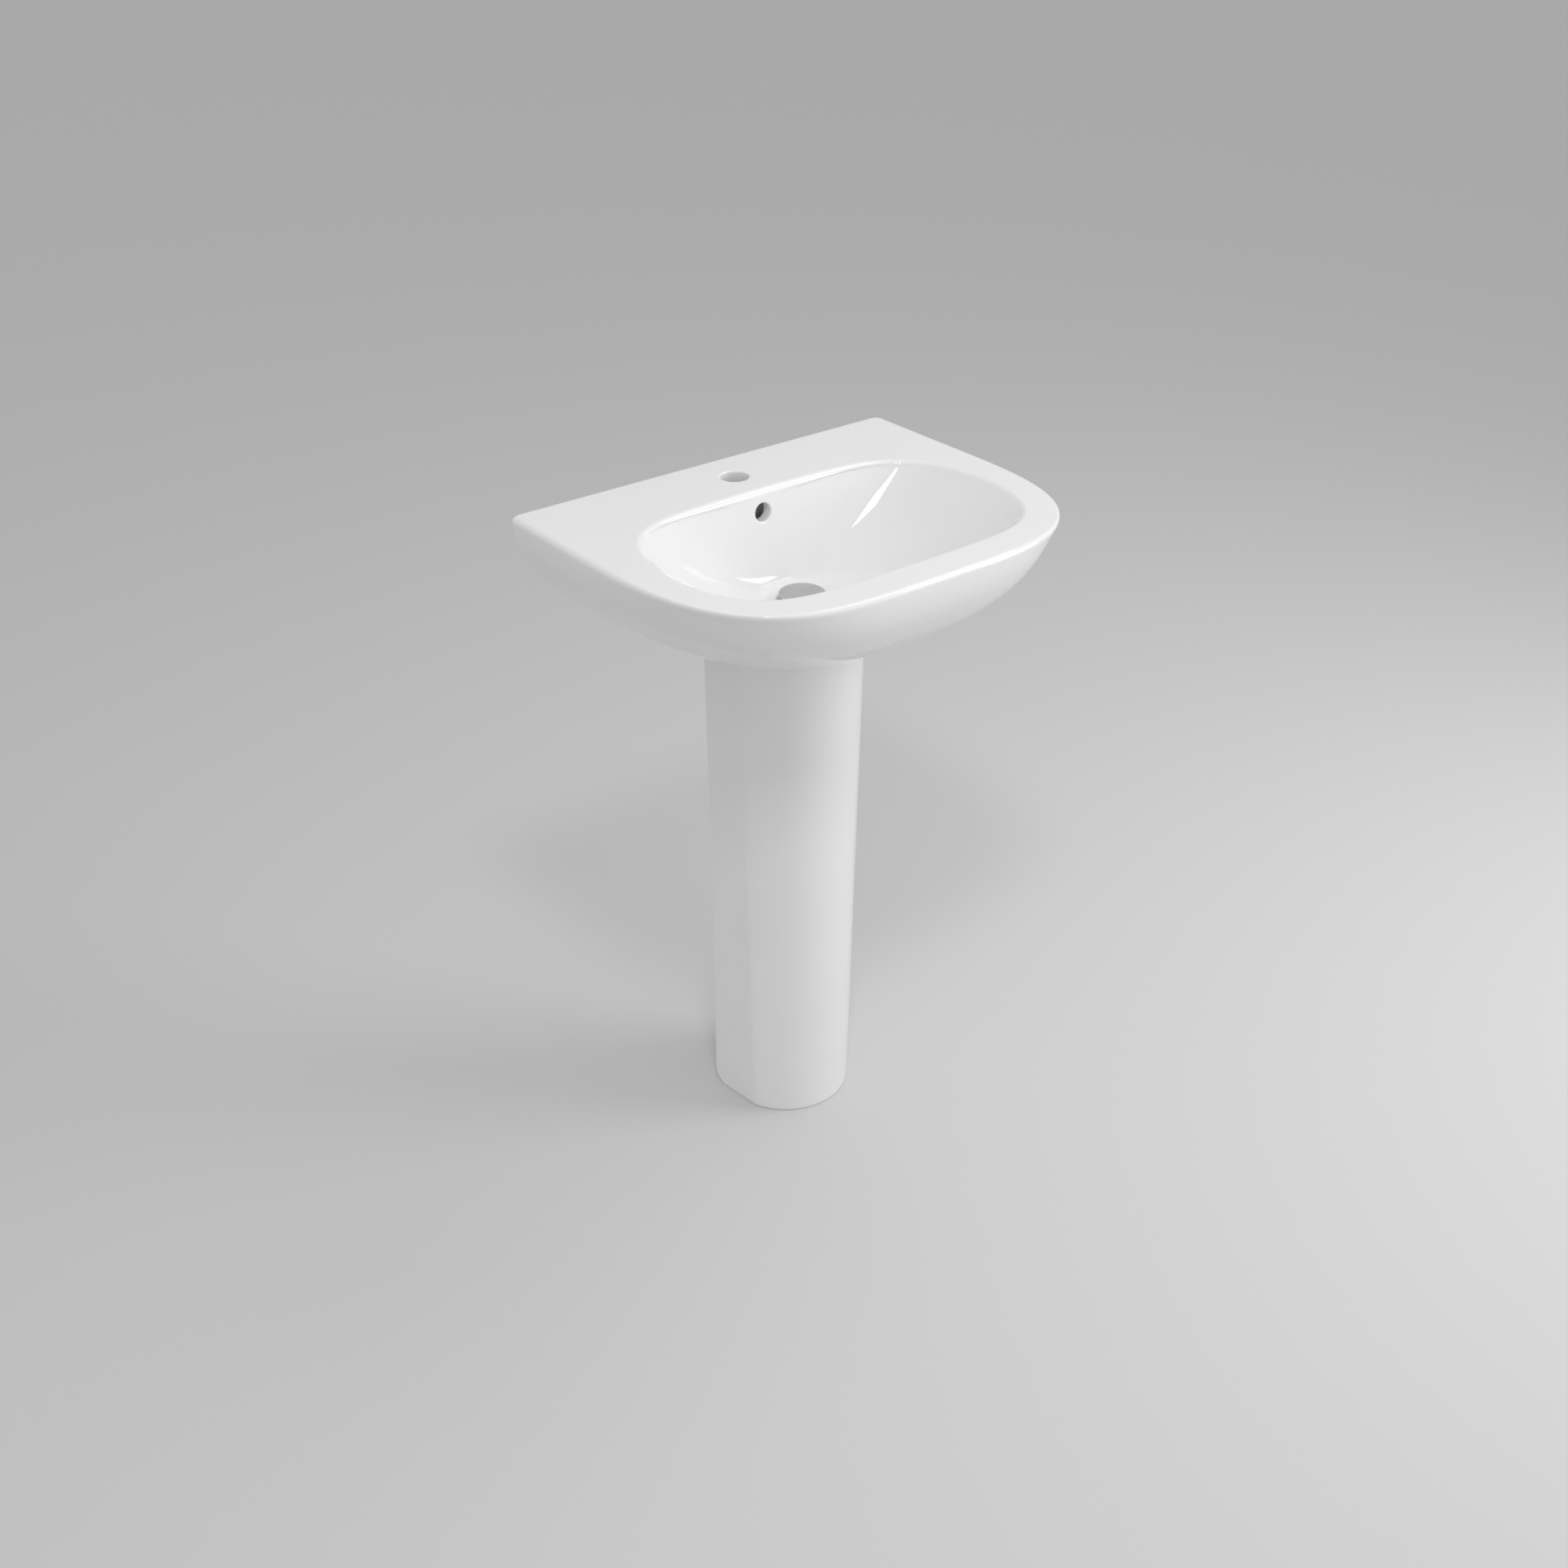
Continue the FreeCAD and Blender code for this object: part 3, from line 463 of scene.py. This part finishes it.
def make_basin():
    """The basin: its skin of rings first, and then everything that is cut out of it."""
    mesh = bmesh.new()
    outside = add_rings(mesh, hull_rings())
    bowl = add_rings(mesh, bowl_rings())
    tap = add_rings(mesh, tap_rings())
    inner_edge = deck_support_ring(mesh, outside[0])
    fill_flat(mesh, [inner_edge, bowl[0], tap[0]])
    mesh.faces.new(tap[-1])
    mesh.faces.new(outside[-1])
    mesh.faces.new(bowl[-1])
    piece = finish_mesh("basin_glazed", mesh)
    piece.data.materials.append(MATERIALS["glaze"])
    # Partly painted shade: the bare clay on the hollow and the cut faces is the real unglazed finish, but its tone is
    # set darker than the pale body so the hollows read dark.
    clay_painted_dark = MATERIALS["bare_clay_painted_dark"]
    carve(piece, underside_cutter(), finish=clay_painted_dark)
    inner = WALL_Y - WALL_STRIP - CUTTER_IN
    low = SEAT_Z - CUTTER_OUT
    seat_top = SEAT_Z + SEAT_THICKNESS + CUTTER_IN
    shaft = block("shaft_cutter", (-SHAFT_HALF, WALL_Y - SHAFT_REACH, low), (SHAFT_HALF, inner, seat_top))
    carve(shaft, boss_tool("boss_keeper"))
    carve(shaft, foot_tool("foot_keeper"))
    carve(piece, shaft, finish=clay_painted_dark)
    service_low = (-SERVICE_HALF, WALL_Y - SERVICE_REACH, low)
    service = block("service_cutter", service_low, (SERVICE_HALF, inner, seat_top))
    carve(service, foot_tool("foot_saver"))
    carve(piece, service, finish=clay_painted_dark)
    carve(piece, arch_cutter(), finish=clay_painted_dark)
    channel_y = BOWL_BACK_Y + CHANNEL_GAP
    channel_end = channel_y + CHANNEL_DEPTH
    channel_low = FLOOR_Z - CHANNEL_DROP
    upright_high = (CHANNEL_HALF, channel_end, DECK_Z - CHANNEL_TOP)
    carve(piece, block("channel", (-CHANNEL_HALF, channel_y, channel_low), upright_high, 0.001), finish=clay_painted_dark)
    foot_high = (CHANNEL_HALF, channel_end, channel_low + CHANNEL_FOOT_HEIGHT)
    carve(piece, block("channel_foot", (-CHANNEL_HALF, AXIS_Y, channel_low), foot_high), finish=clay_painted_dark)
    carve(piece, overflow_cutter())
    waste = [(WASTE_HOLE, SEAT_Z - FLOOR_Z - CUTTER_OUT), (WASTE_HOLE, -RECESS_DEPTH), (WASTE_RECESS, -RECESS_DEPTH),
             (WASTE_RECESS, -0.001), (WASTE_RECESS + 0.0008, 0.0), (WASTE_RECESS + 0.0008, 0.004)]
    carve(piece, lathe_cutter("waste_cutter", waste, (0, AXIS_Y, FLOOR_Z), (0, 0, 1), 96))
    fixings = MOUNTS["wall_fixings"]
    spacing = fixings["dims"]["spacing_x_mm"] * MM / 2
    bolt = fixings["dims"]["hole_r_mm"] * MM
    hole = [(bolt, -0.02), (bolt, 0.02)]
    for x in (-spacing, spacing):
        place = (x, WALL_Y - WALL_STRIP / 2, fixings["pos_m"][2])
        carve(piece, lathe_cutter("bolt_cutter", hole, place, (0, 1, 0), 32), finish=clay_painted_dark)
    shade(piece.data)
    return piece


# ---------------------------------------------------------------- pedestal
def pedestal_numbers(z):
    """Half width at the back, the arris's half width and y, and the nose's y, at a height."""
    t = z / TOP_Z
    half = FOOT_HALF + HEAD_WIDENING * t ** WIDENING_POWER
    arris_half = ARRIS_HALF + ARRIS_WIDENING * t
    arris_y = WALL_Y - ARRIS_GAP + ARRIS_BACKWARD * t
    nose_y = WALL_Y - NOSE_GAP - NOSE_FORWARD * t ** NOSE_FORWARD_POWER
    return half, arris_half, arris_y, nose_y


def pedestal_side(z, inset, back_y):
    """Half of the plan from the nose to the back corner, pulled in by inset."""
    half, arris_half, arris_y, nose_y = pedestal_numbers(z)
    rise = arris_y - nose_y
    radius = (rise ** 2 + arris_half ** 2) / (2 * rise)
    middle = nose_y + radius
    end = math.atan2(arris_half, middle - arris_y)
    own = radius - inset
    soften = 0.055
    turns = np.linspace(0, end - soften, 40)
    arc = [(own * math.sin(turn), middle - own * math.cos(turn)) for turn in turns]
    arris = np.array([own * math.sin(end), middle - own * math.cos(end)])
    back = np.array([half - inset, back_y])
    along = (back - arris) / np.linalg.norm(back - arris)
    before = np.array(arc[-1])
    after = arris + along * np.linalg.norm(before - arris)
    for share in np.linspace(0, 1, 7)[1:]:
        bend = (1 - share) ** 2 * before + 2 * share * (1 - share) * arris + share ** 2 * after
        arc.append(tuple(bend))
    for share in np.linspace(0, 1, 9)[1:]:
        arc.append(tuple(after + (back - after) * share))
    return np.array(arc)


def pedestal_ring(z, inset=0.0, round_by=0.0):
    """The C-shaped plan at a height: outside, round the back corners and the lips, and inside."""
    back_y = PEDESTAL_BACK - inset
    bend = 0.020
    if z < bend:
        back_y -= bend - math.sqrt(max(0.0, bend ** 2 - (bend - z) ** 2))
    corner = 0.0035
    outer = pedestal_side(z, inset, back_y - corner)
    wall = PEDESTAL_WALL - inset
    inner = pedestal_side(z, wall, back_y - PEDESTAL_WALL + 2 * inset)
    outer_end = outer[-1]
    gap = FOOT_HALF - PEDESTAL_WALL - LIP + inset
    points = list(outer)
    for turn in np.linspace(0, math.pi / 2, 5)[1:]:
        points.append((outer_end[0] - corner * (1 - math.cos(turn)), outer_end[1] + corner * math.sin(turn)))
    for share in np.linspace(0, 1, 5)[1:]:
        points.append((points[-1][0] + (gap + corner - points[-1][0]) * share, back_y))
    for turn in np.linspace(0, math.pi / 2, 5)[1:]:
        points.append((gap + corner * (1 - math.sin(turn)), back_y - corner * (1 - math.cos(turn))))
    inner_back = inner[-1][1]
    points.append((gap, inner_back + corner * 0.5))
    points.append((gap + corner * 0.5, inner_back))
    points.append((inner[-1][0] - 0.002, inner_back))
    inner[-1] = (inner[-1][0], inner_back - 0.002)
    points += [tuple(p) for p in inner[::-1]]
    right = np.array(points)
    left = right[::-1][1:-1] * np.array([-1, 1])
    plan = np.vstack([right, left])
    return np.column_stack([plan, np.full(len(plan), z)])


def make_pedestal():
    """The pedestal: a C-shaped casting with softened ends, and a lug with a screw hole in each side of its foot."""
    mesh = bmesh.new()
    rings = []
    soft = 0.002
    for turn in np.linspace(0, math.pi / 2, 4)[:-1]:
        rings.append(pedestal_ring(soft * (1 - math.cos(turn)), soft * (1 - math.sin(turn))))
    for z in list(np.linspace(soft, 0.020, 8)) + list(np.linspace(0.020, TOP_Z - soft, 30)[1:]):
        rings.append(pedestal_ring(z))
    for turn in np.linspace(0, math.pi / 2, 4)[1:]:
        rings.append(pedestal_ring(TOP_Z - soft * (1 - math.sin(turn)), soft * (1 - math.cos(turn))))
    loops = add_rings(mesh, rings)
    for loop in (loops[0], loops[-1]):
        fill_flat(mesh, [loop])
    piece = finish_mesh("pedestal_glazed", mesh)
    piece.data.materials.append(MATERIALS["glaze"])
    fixings = MOUNTS["floor_fixings"]
    lug_x = fixings["dims"]["spacing_x_mm"] * MM / 2
    lug_y = fixings["pos_m"][1]
    screw = fixings["dims"]["hole_r_mm"] * MM
    lug_half = 0.016
    lug_top = 2 * fixings["pos_m"][2]
    hole = [(screw, -0.01), (screw, 0.03)]
    for side in (-1, 1):
        near, far = sorted((side * (lug_x - lug_half), side * (lug_x + lug_half)))
        carve(piece, block("lug", (near, lug_y - 0.020, 0.0), (far, lug_y + 0.0205, lug_top), 0.0015), "UNION")
        carve(piece, lathe_cutter("screw_cutter", hole, (side * lug_x, lug_y, 0), (0, 0, 1), 32))
    shade(piece.data)
    return piece


# ---------------------------------------------------------------- materials
def new_material(name):
    material = bpy.data.materials.new(name)
    material.use_nodes = True
    return material, material.node_tree.nodes, material.node_tree.links


def two_tones(nodes, links, pattern, shader, low, high):
    """Colours the shader between two close tones by a pattern."""
    tone = nodes.new("ShaderNodeValToRGB")
    for element, position, colour in zip(tone.color_ramp.elements, (0.3, 0.7), (low, high)):
        element.position = position
        element.color = (*colour, 1)
    links.new(pattern.outputs["Fac"], tone.inputs["Fac"])
    links.new(tone.outputs["Color"], shader.inputs["Base Color"])


def relief(nodes, links, pattern, shader, strength, distance):
    """Raises the surface a little by a pattern."""
    bump = nodes.new("ShaderNodeBump")
    bump.inputs["Strength"].default_value = strength
    bump.inputs["Distance"].default_value = distance
    links.new(pattern.outputs["Fac"], bump.inputs["Height"])
    links.new(bump.outputs["Normal"], shader.inputs["Normal"])


def glaze():
    """White gloss glaze: a faint waviness, and tiny changes of tone in the body under it."""
    material, nodes, links = new_material("white_glaze")
    shader = nodes["Principled BSDF"]
    shader.inputs["Roughness"].default_value = 0.045
    shader.inputs["IOR"].default_value = 1.52
    shader.inputs["Coat Weight"].default_value = 0.35
    shader.inputs["Coat Roughness"].default_value = 0.02
    place = nodes.new("ShaderNodeTexCoord")
    tone = nodes.new("ShaderNodeTexNoise")
    tone.inputs["Scale"].default_value = 9.0
    tone.inputs["Detail"].default_value = 3.0
    links.new(place.outputs["Object"], tone.inputs["Vector"])
    two_tones(nodes, links, tone, shader, (0.865, 0.868, 0.865), (0.885, 0.886, 0.880))
    ripple = nodes.new("ShaderNodeTexNoise")
    ripple.inputs["Scale"].default_value = 38.0
    ripple.inputs["Detail"].default_value = 1.0
    links.new(place.outputs["Object"], ripple.inputs["Vector"])
    relief(nodes, links, ripple, shader, 0.05, 0.0006)
    return material


def worn(name, low, high, rough, metallic, grain, bump, lathed=False):
    """A plain finish with a small change of tone, of gloss and of height over it."""
    material, nodes, links = new_material(name)
    shader = nodes["Principled BSDF"]
    shader.inputs["Metallic"].default_value = metallic
    place = nodes.new("ShaderNodeTexCoord")
    if lathed:
        pattern = nodes.new("ShaderNodeTexWave")
        pattern.wave_type = "BANDS"
        pattern.bands_direction = "Z"
        pattern.inputs["Distortion"].default_value = 1.5
    else:
        pattern = nodes.new("ShaderNodeTexNoise")
        pattern.inputs["Detail"].default_value = 4.0
    pattern.inputs["Scale"].default_value = grain
    links.new(place.outputs["Object"], pattern.inputs["Vector"])
    two_tones(nodes, links, pattern, shader, low, high)
    gloss = nodes.new("ShaderNodeMapRange")
    gloss.inputs["To Min"].default_value = rough[0]
    gloss.inputs["To Max"].default_value = rough[1]
    links.new(pattern.outputs["Fac"], gloss.inputs["Value"])
    links.new(gloss.outputs["Result"], shader.inputs["Roughness"])
    relief(nodes, links, pattern, shader, bump, 0.0004)
    return material


MATERIALS = {
    "glaze": glaze(),
    # Bare clay: the real unglazed finish, with a tone darker than the pale body as painted shade in the hollows.
    "bare_clay_painted_dark": worn("bare_clay_painted_dark", (0.30, 0.28, 0.25), (0.38, 0.36, 0.33), (0.86, 0.96), 0.0, 90.0, 0.25),
    "chrome": worn("chrome", (0.50, 0.51, 0.52), (0.56, 0.57, 0.58), (0.04, 0.09), 1.0, 45.0, 0.01),
    "brass": worn("brass", (0.68, 0.50, 0.22), (0.80, 0.62, 0.32), (0.20, 0.34), 1.0, 700.0, 0.10, True),
    "rubber": worn("rubber", (0.014, 0.014, 0.014), (0.030, 0.030, 0.030), (0.55, 0.72), 0.0, 300.0, 0.15),
    "white_plastic": worn("white_plastic", (0.80, 0.80, 0.78), (0.84, 0.84, 0.82), (0.28, 0.40), 0.0, 120.0, 0.05),
    "grey_plastic": worn("grey_plastic", (0.10, 0.10, 0.11), (0.14, 0.14, 0.15), (0.36, 0.48), 0.0, 160.0, 0.08),
    "spring_steel": worn("spring_steel", (0.52, 0.52, 0.54), (0.64, 0.64, 0.66), (0.18, 0.30), 1.0, 900.0, 0.05, True),
}
for node_name, slot_name in SLOT_OF.items():
    node_data = frame["nodes"][node_name].data
    node_data.materials.clear()
    node_data.materials.append(MATERIALS[slot_name])


# ---------------------------------------------------------------- fittings
def softened(profile, soft=0.4):
    """The profile with each corner cut by a small curve; points on the axis stay. Millimetres."""
    count = len(profile)
    points = []
    for k, here in enumerate(profile):
        here = np.array(here, dtype=float)
        before = np.array(profile[k - 1], dtype=float)
        after = np.array(profile[(k + 1) % count], dtype=float)
        if here[0] < 1e-6:
            points.append(tuple(here))
            continue
        back = before - here
        onward = after - here
        cut = min(soft, 0.4 * np.linalg.norm(back), 0.4 * np.linalg.norm(onward))
        start = here + back / np.linalg.norm(back) * cut
        end = here + onward / np.linalg.norm(onward) * cut
        for share in (0.0, 0.33, 0.67, 1.0):
            points.append(tuple((1 - share) ** 2 * start + 2 * share * (1 - share) * here + share ** 2 * end))
    return points


def finely(profile, low, high, step):
    """The profile with its upright runs between two heights split into short steps."""
    points = []
    for k, here in enumerate(profile):
        after = profile[(k + 1) % len(profile)]
        points.append(here)
        upright = abs(here[0] - after[0]) < 1e-6 and abs(here[1] - after[1]) > 2 * step
        if upright and min(here[1], after[1]) >= low - 1e-6 and max(here[1], after[1]) <= high + 1e-6:
            parts = int(abs(after[1] - here[1]) / step)
            points += [(here[0], here[1] + (after[1] - here[1]) * p / parts) for p in range(1, parts)]
    return points


def lay(point, base, lying):
    """A point in millimetres about the axis, in metres in the frame; lying turns +Z to +Y."""
    x, y, z = point
    if lying:
        x, y, z = x, z, -y
    return Vector((base[0] + x * MM, base[1] + y * MM, base[2] + z * MM))


def turned(name, profile, base, node, body="root", shape=None, count=96, lying=False, soft=0.4, fine=None):
    """A turned fitting about an axis through base; shape(radius, height, turn) gives ribs, flats or threads.

    The profile is in millimetres; fine is the low height, the high height and the step for its upright runs.
    """
    points = softened(profile, soft)
    if fine:
        points = finely(points, *fine)
    mesh = bmesh.new()
    loops = []
    for radius, height in points:
        if radius < 1e-6:
            loops.append([mesh.verts.new(lay((0, 0, height), base, lying))])
            continue
        ring = []
        for k in range(count):
            turn = 2 * math.pi * k / count
            r = shape(radius, height, turn) if shape else radius
            ring.append(mesh.verts.new(lay((r * math.cos(turn), r * math.sin(turn), height), base, lying)))
        loops.append(ring)
    for here, there in zip(loops, loops[1:] + loops[:1]):
        if len(here) == 1 and len(there) == 1:
            continue
        for k in range(count):
            after = (k + 1) % count
            corners = [here[0]] if len(here) == 1 else [here[k], here[after]]
            corners += [there[0]] if len(there) == 1 else [there[after], there[k]]
            mesh.faces.new(corners)
    piece = finish_mesh(name, mesh)
    slot = SLOT_OF[node]
    piece.data.materials.append(MATERIALS[slot])
    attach(piece, body)
    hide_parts(node)
    return piece


def ribbed(count, edge, depth):
    """Grip ribs round everything beyond a radius."""
    def shape(radius, height, turn):
        if radius < edge:
            return radius
        return radius - depth * (0.5 - 0.5 * math.cos(count * turn)) ** 2
    return shape


def hexagon(flats):
    """Six flats; what lies inside them stays round, so the corners get their chamfer."""
    def shape(radius, height, turn):
        off = math.radians((math.degrees(turn) % 60) - 30)
        return min(radius, flats / 2 / math.cos(off))
    return shape


def threaded(crest, low, high, pitch, depth):
    """A screw thread on the outside at a radius between two heights."""
    def shape(radius, height, turn):
        if abs(radius - crest) > 0.05 or not low < height < high:
            return radius
        phase = (height / pitch - turn / (2 * math.pi)) % 1.0
        return radius - depth * abs(2 * phase - 1)
    return shape


for piece, node in ((make_basin(), "basin"), (make_pedestal(), "pedestal")):
    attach(piece, "root")
    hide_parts(node)

WASTE = (0.0, AXIS_Y, FLOOR_Z)
turned("cap_crowned", [(0, 7), (4.1, 7), (4.1, 3), (7, 3), (7, 7), (27.9, 7), (28.5, 7.6), (28.5, 9.2), (27.6, 10.0),
                       (20, 10.38), (10, 10.56), (0, 10.6)], WASTE, "plug_cap", "plug", soft=0.8)
flange = turned("flange_turned", [
    (17.6, -74), (20.95, -74), (20.95, -5.4), (30.2, -5.4), (30.2, 0.2), (31.6, 0.2), (31.6, 1.5), (30.9, 2.2),
    (29.7, 2.2), (29.0, 1.5), (29.0, -3), (17.6, -3)], WASTE, "waste_flange", soft=0.5,
    shape=threaded(20.95, -72.5, -26, 2.0, 0.7), fine=(-74, -5, 0.5))
slots = block("slot_cutter", (-0.007, AXIS_Y - 0.023, FLOOR_Z - 0.023), (0.007, AXIS_Y + 0.023, FLOOR_Z - 0.011))
carve(flange, slots)
for k in range(3):
    turn = math.radians(120 * k)
    arm = block("bridge_arm", (0.0055, -0.002, -0.0395), (0.0185, 0.002, -0.0345), 0.0005)
    for vert in arm.data.vertices:
        x, y, z = vert.co
        vert.co = Vector((x * math.cos(turn) - y * math.sin(turn), AXIS_Y + x * math.sin(turn) + y * math.cos(turn),
                          FLOOR_Z + z))
    carve(flange, arm, "UNION")
hub = lathe_cutter("bridge_hub", [(0.009, -0.040), (0.009, -0.034)], WASTE, (0, 0, 1), 48)
carve(hub, lathe_cutter("hub_bore", [(0.0049, -0.045), (0.0049, -0.030)], WASTE, (0, 0, 1), 48))
carve(flange, hub, "UNION")
shade(flange.data)
turned("backnut_hexagon", [(21.05, -46), (27.2, -46), (28.87, -44.6), (28.87, -37.9), (27.2, -36.5), (21.05, -36.5)],
       WASTE, "waste_backnut", shape=hexagon(50.0), soft=0.3)

TAIL = (0.0, AXIS_Y, FLANGE_LOW.z)
turned("inlet_nut_ribbed", [(16.4, -10), (25.5, -10), (27, -8.5), (27, 14), (26.2, 15), (21.05, 15), (21.05, -5),
                            (16.4, -5)], TAIL, "trap_inlet_nut", shape=ribbed(18, 25.8, 1.0), count=144)
TRAP = (0.0, AXIS_Y, MOUNTS["trap_outlet"]["pos_m"][2])
turned("tube_nut_ribbed", [(20.15, 22), (25.2, 22), (26, 22.8), (26, 42.5), (24.5, 44), (16.4, 44), (16.4, 40),
                           (20.15, 40)], TRAP, "trap_tube_nut", shape=ribbed(18, 25.4, 1.0), count=144)
OUTLET = (0.0, AXIS_Y + 0.072, TRAP[2])
turned("outlet_nut_ribbed", [(20.15, -14), (25.2, -14), (26, -13.2), (26, 6.5), (24.5, 8), (16.3, 8), (16.3, 4),
                             (20.15, 4)], OUTLET, "trap_outlet_nut", shape=ribbed(18, 25.4, 1.0), count=144,
       lying=True)
CUP = (0.0, AXIS_Y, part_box("trap_cup")[0].z)
turned("cup_gripped", [(0, 0), (28, 0), (33, 2.6), (35, 5), (36, 9), (36, 72), (37.5, 74), (37.5, 88), (36.9, 89),
                       (33.15, 89), (33.15, 9), (27, 4), (0, 4)], CUP, "trap_cup", "cup",
       shape=ribbed(30, 37.0, 0.9), count=180)


def make_spring():
    """The plug's coil spring: a round wire on a helix, cut square at its ends."""
    wire = 0.0004
    turns = 4
    low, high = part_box("plug_spring")
    coil = (high.x - low.x) / 2 - wire
    bottom, top = low.z + wire, high.z - wire
    rings = []
    for k in range(turns * 40 + 1):
        turn = 2 * math.pi * k / 40
        outward = Vector((math.cos(turn), math.sin(turn), 0))
        centre = Vector((0, AXIS_Y, bottom + (top - bottom) * k / (turns * 40))) + outward * coil
        angles = [2 * math.pi * j / 10 for j in range(10)]
        rings.append([centre + outward * wire * math.cos(a) + Vector((0, 0, wire * math.sin(a))) for a in angles])
    piece = closed_rings("spring_coiled", rings)
    shade(piece.data)
    piece.data.materials.append(MATERIALS["spring_steel"])
    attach(piece, "root")
    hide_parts("plug_spring")
    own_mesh(piece)


make_spring()


# ---------------------------------------------------------------- stage, light and camera
def make_floor():
    """A plain pale floor."""
    mesh = bmesh.new()
    bmesh.ops.create_grid(mesh, x_segments=1, y_segments=1, size=14)
    floor = finish_mesh("studio_floor", mesh, smooth=False)
    material, nodes, _ = new_material("studio_white")
    shader = nodes["Principled BSDF"]
    shader.inputs["Base Color"].default_value = (0.66, 0.66, 0.66, 1)
    shader.inputs["Roughness"].default_value = 0.9
    floor.data.materials.append(material)


def area_light(name, place, target, size, power):
    """A soft rectangular lamp at a place, turned to a target."""
    data = bpy.data.lights.new(name, "AREA")
    data.shape = "RECTANGLE"
    data.size, data.size_y = size
    data.energy = power
    lamp = bpy.data.objects.new(name, data)
    bpy.context.scene.collection.objects.link(lamp)
    lamp.location = place
    lamp.rotation_euler = (Vector(target) - Vector(place)).to_track_quat("-Z", "Y").to_euler()


make_floor()
world = bpy.data.worlds.new("studio")
world.use_nodes = True
world.node_tree.nodes["Background"].inputs["Color"].default_value = (1, 1, 1, 1)
world.node_tree.nodes["Background"].inputs["Strength"].default_value = 0.58
bpy.context.scene.world = world
MIDDLE = (0.0, 0.0, 0.6)


def around(azimuth, elevation, distance):
    """A place round the middle of the object: azimuth 0 is in front of it and 90 to its right."""
    az, el = math.radians(azimuth), math.radians(elevation)
    flat = distance * math.cos(el)
    return (MIDDLE[0] + flat * math.sin(az), MIDDLE[1] - flat * math.cos(az), MIDDLE[2] + distance * math.sin(el))


area_light("key", around(-36, 56, 2.6), MIDDLE, (0.38, 0.38), 13)
area_light("right_fill", around(52, 22, 2.4), MIDDLE, (1.0, 1.6), 20)
area_light("right_high", around(80, 60, 2.6), MIDDLE, (1.2, 1.2), 7)

AIM = Vector((0.12284, WALL_Y, 0.3475))
AZIMUTH = math.radians(38.27)
ELEVATION = math.radians(30.37)
DISTANCE = 2.61341
LEVEL = math.cos(ELEVATION)
ahead = Vector((math.sin(AZIMUTH) * LEVEL, math.cos(AZIMUTH) * LEVEL, -math.sin(ELEVATION)))
lens = bpy.data.cameras.new("photo_view")
lens.sensor_width = 36.0
lens.lens = 42.86
lens.clip_end = 50.0
camera = bpy.data.objects.new("photo_view", lens)
bpy.context.scene.collection.objects.link(camera)
camera.location = AIM - ahead * DISTANCE
camera.rotation_euler = ahead.to_track_quat("-Z", "Y").to_euler()
bpy.context.scene.camera = camera
bpy.context.scene.view_settings.view_transform = "Standard"
